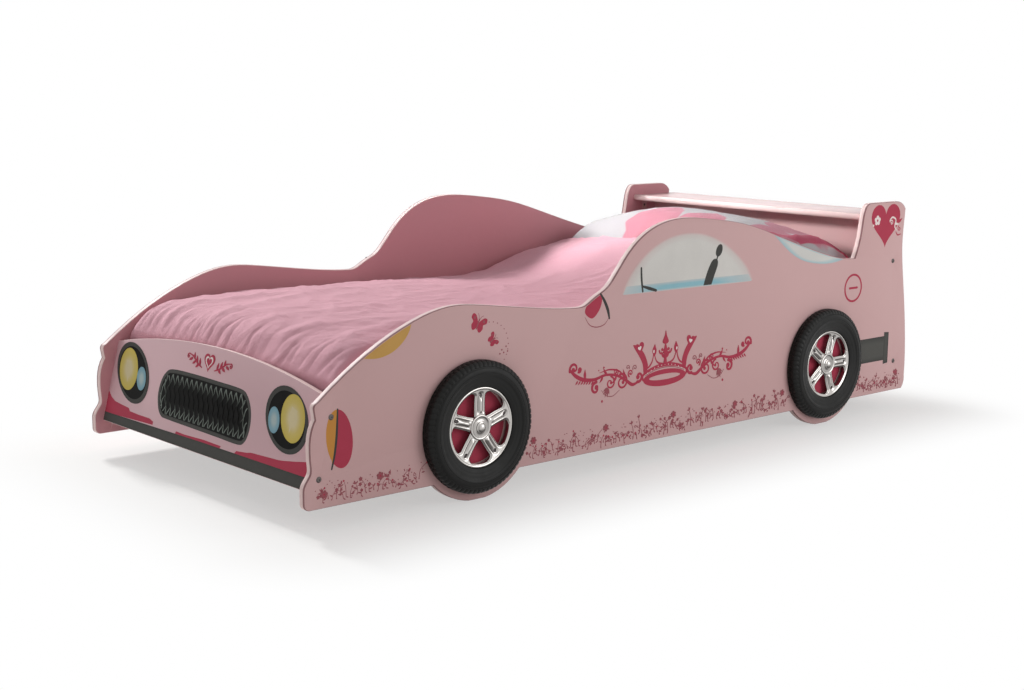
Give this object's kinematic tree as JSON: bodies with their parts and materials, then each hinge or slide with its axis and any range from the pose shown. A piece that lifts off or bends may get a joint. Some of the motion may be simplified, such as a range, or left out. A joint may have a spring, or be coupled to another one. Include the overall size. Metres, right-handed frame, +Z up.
{
  "type": "car bed for children",
  "caption": "Low single bed for a child shaped like a sports car, with side panels, sloping front panel, rear wing, turning wheels, slatted base, mattress and bedding.",
  "frame": {"origin": "on the floor under the middle of the bed", "axes": "+Z up, -Y towards the car's nose (the foot of the bed), +X to the car's left"},
  "size_m": [1.048, 2.1978, 0.628],
  "materials": {
    "printed_board": "satin",
    "slat_wood": "matte",
    "webbing": "matte",
    "zinc_steel": "satin",
    "chromed_plastic": "gloss",
    "tyre_plastic": "satin",
    "mattress_cover": "matte",
    "duvet_cotton": "matte",
    "pillow_cotton": "matte"
  },
  "bodies": {
    "bed_frame": {"axle_bolts": "zinc_steel", "axle_nuts": "zinc_steel", "axle_washers": "zinc_steel", "barrel_nuts": "zinc_steel", "board_dowels": "slat_wood", "bracket_screws": "zinc_steel", "connector_bolts": "zinc_steel", "duvet": "duvet_cotton", "front_panel": "printed_board", "headboard": "printed_board", "mattress": "mattress_cover", "pillow": "pillow_cotton", "rail_screws": "zinc_steel", "rear_wing": "printed_board", "side_panel_left": "printed_board", "side_panel_right": "printed_board", "slat_01": "slat_wood", "slat_02": "slat_wood", "slat_03": "slat_wood", "slat_04": "slat_wood", "slat_05": "slat_wood", "slat_06": "slat_wood", "slat_07": "slat_wood", "slat_08": "slat_wood", "slat_09": "slat_wood", "slat_10": "slat_wood", "slat_11": "slat_wood", "slat_12": "slat_wood", "slat_13": "slat_wood", "slat_14": "slat_wood", "slat_rail_left": "slat_wood", "slat_rail_right": "slat_wood", "slat_screws": "zinc_steel", "slat_strap_left": "webbing", "slat_strap_right": "webbing", "wing_brackets": "zinc_steel", "wing_dowels": "slat_wood"},
    "wheel_front_left": {"wheel_front_left_tyre": "tyre_plastic", "wheel_front_left_rim": "chromed_plastic", "wheel_front_left_hub_cap": "chromed_plastic"},
    "wheel_front_right": {"wheel_front_right_tyre": "tyre_plastic", "wheel_front_right_rim": "chromed_plastic", "wheel_front_right_hub_cap": "chromed_plastic"},
    "wheel_rear_left": {"wheel_rear_left_tyre": "tyre_plastic", "wheel_rear_left_rim": "chromed_plastic", "wheel_rear_left_hub_cap": "chromed_plastic"},
    "wheel_rear_right": {"wheel_rear_right_tyre": "tyre_plastic", "wheel_rear_right_rim": "chromed_plastic", "wheel_rear_right_hub_cap": "chromed_plastic"}
  },
  "joints": [
    {"name": "wheel_front_left_spin", "type": "hinge", "parent": "bed_frame", "child": "wheel_front_left", "pos_m": [0.49, -0.619, 0.178], "axis": [1, 0, 0], "continuous": true},
    {"name": "wheel_front_right_spin", "type": "hinge", "parent": "bed_frame", "child": "wheel_front_right", "pos_m": [-0.49, -0.619, 0.178], "axis": [1, 0, 0], "continuous": true},
    {"name": "wheel_rear_left_spin", "type": "hinge", "parent": "bed_frame", "child": "wheel_rear_left", "pos_m": [0.49, 0.687, 0.178], "axis": [1, 0, 0], "continuous": true},
    {"name": "wheel_rear_right_spin", "type": "hinge", "parent": "bed_frame", "child": "wheel_rear_right", "pos_m": [-0.49, 0.687, 0.178], "axis": [1, 0, 0], "continuous": true}
  ]
}
